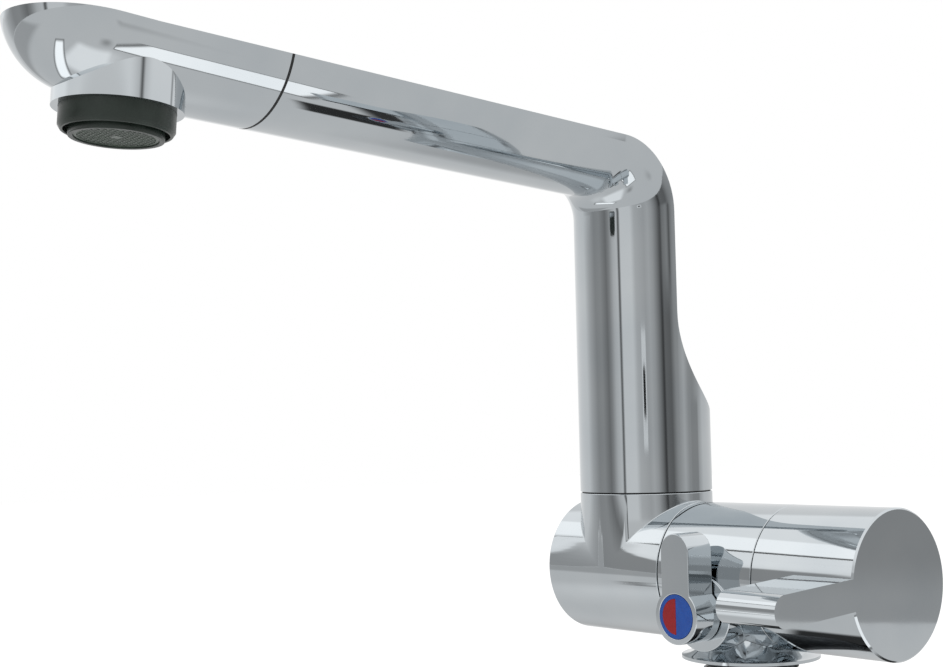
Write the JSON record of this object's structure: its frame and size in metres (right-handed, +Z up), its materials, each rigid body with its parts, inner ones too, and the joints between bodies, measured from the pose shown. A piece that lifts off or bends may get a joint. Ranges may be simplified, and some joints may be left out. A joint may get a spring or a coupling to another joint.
{
  "type": "mixer tap",
  "caption": "Chrome folding mixer tap: horizontal cylinder body with a lift lever and a hot-cold selector, a D-section column and a long swivel spout with an aerator.",
  "frame": {"origin": "centre of the flange underside, on the worktop, on the axis of the fixing shank", "axes": "+X along the horizontal body towards the lever knob, -Y towards the user and along the spout, +Z up"},
  "size_m": [0.1185, 0.2338, 0.2295],
  "materials": {
    "chrome": "bright polished chrome plating",
    "brass": "turned brass",
    "steel": "stainless steel and nickel-plated brass, turned",
    "rubber": "matt black rubber",
    "black_plastic": "matt black plastic",
    "white_plastic": "matt white plastic",
    "dark_plastic": "dark green-black plastic, slight gloss",
    "mesh_plastic": "fine dark mesh",
    "blue_enamel": "blue printed disc",
    "red_enamel": "red printed half disc"
  },
  "bodies": {
    "base": {"body_shell": "chrome", "pedestal": "chrome", "base_gasket": "rubber", "fixing_shank": "steel", "inlet_hot": "steel", "inlet_cold": "steel", "fold_axle": "brass", "axle_nut": "brass", "fold_seal_left": "rubber", "fold_seal_right": "rubber", "fold_washer": "black_plastic", "mix_cartridge": "white_plastic", "flow_cartridge": "white_plastic", "lever_washer": "black_plastic", "microswitch": "black_plastic", "switch_plunger": "red_enamel"},
    "knee": {"knee_body": "chrome", "knee_cap": "chrome", "swivel_sleeve": "brass", "swivel_seal": "rubber", "swivel_washer": "black_plastic"},
    "spout": {"spout_arm": "chrome", "spout_grub": "steel", "head_joint": "black_plastic", "spout_head": "chrome", "aerator_washer": "rubber", "aerator_housing": "dark_plastic", "aerator_ring": "dark_plastic", "aerator_mesh": "mesh_plastic"},
    "lever": {"lever_knob": "chrome", "lever_stem": "brass", "lever_grub": "steel"},
    "selector": {"selector_lever": "chrome", "selector_stem": "brass", "selector_screw": "steel", "selector_disc": "blue_enamel", "selector_red": "red_enamel"}
  },
  "joints": [
    {"name": "fold", "type": "hinge", "parent": "base", "child": "knee", "pos_m": [-0.04125, 0, 0.0245], "axis": [1, 0, 0], "range_deg": [0, 90]},
    {"name": "swivel", "type": "hinge", "parent": "knee", "child": "spout", "pos_m": [-0.04125, 0, 0.0485], "axis": [0, 0, 1], "range_deg": [-170, 170]},
    {"name": "lift_lever", "type": "hinge", "parent": "base", "child": "lever", "pos_m": [0.035, 0, 0.0245], "axis": [-1, 0, 0], "range_deg": [0, 60]},
    {"name": "turn_selector", "type": "hinge", "parent": "base", "child": "selector", "pos_m": [0, -0.027, 0.0146], "axis": [0, 1, 0], "range_deg": [-40, 40]}
  ]
}
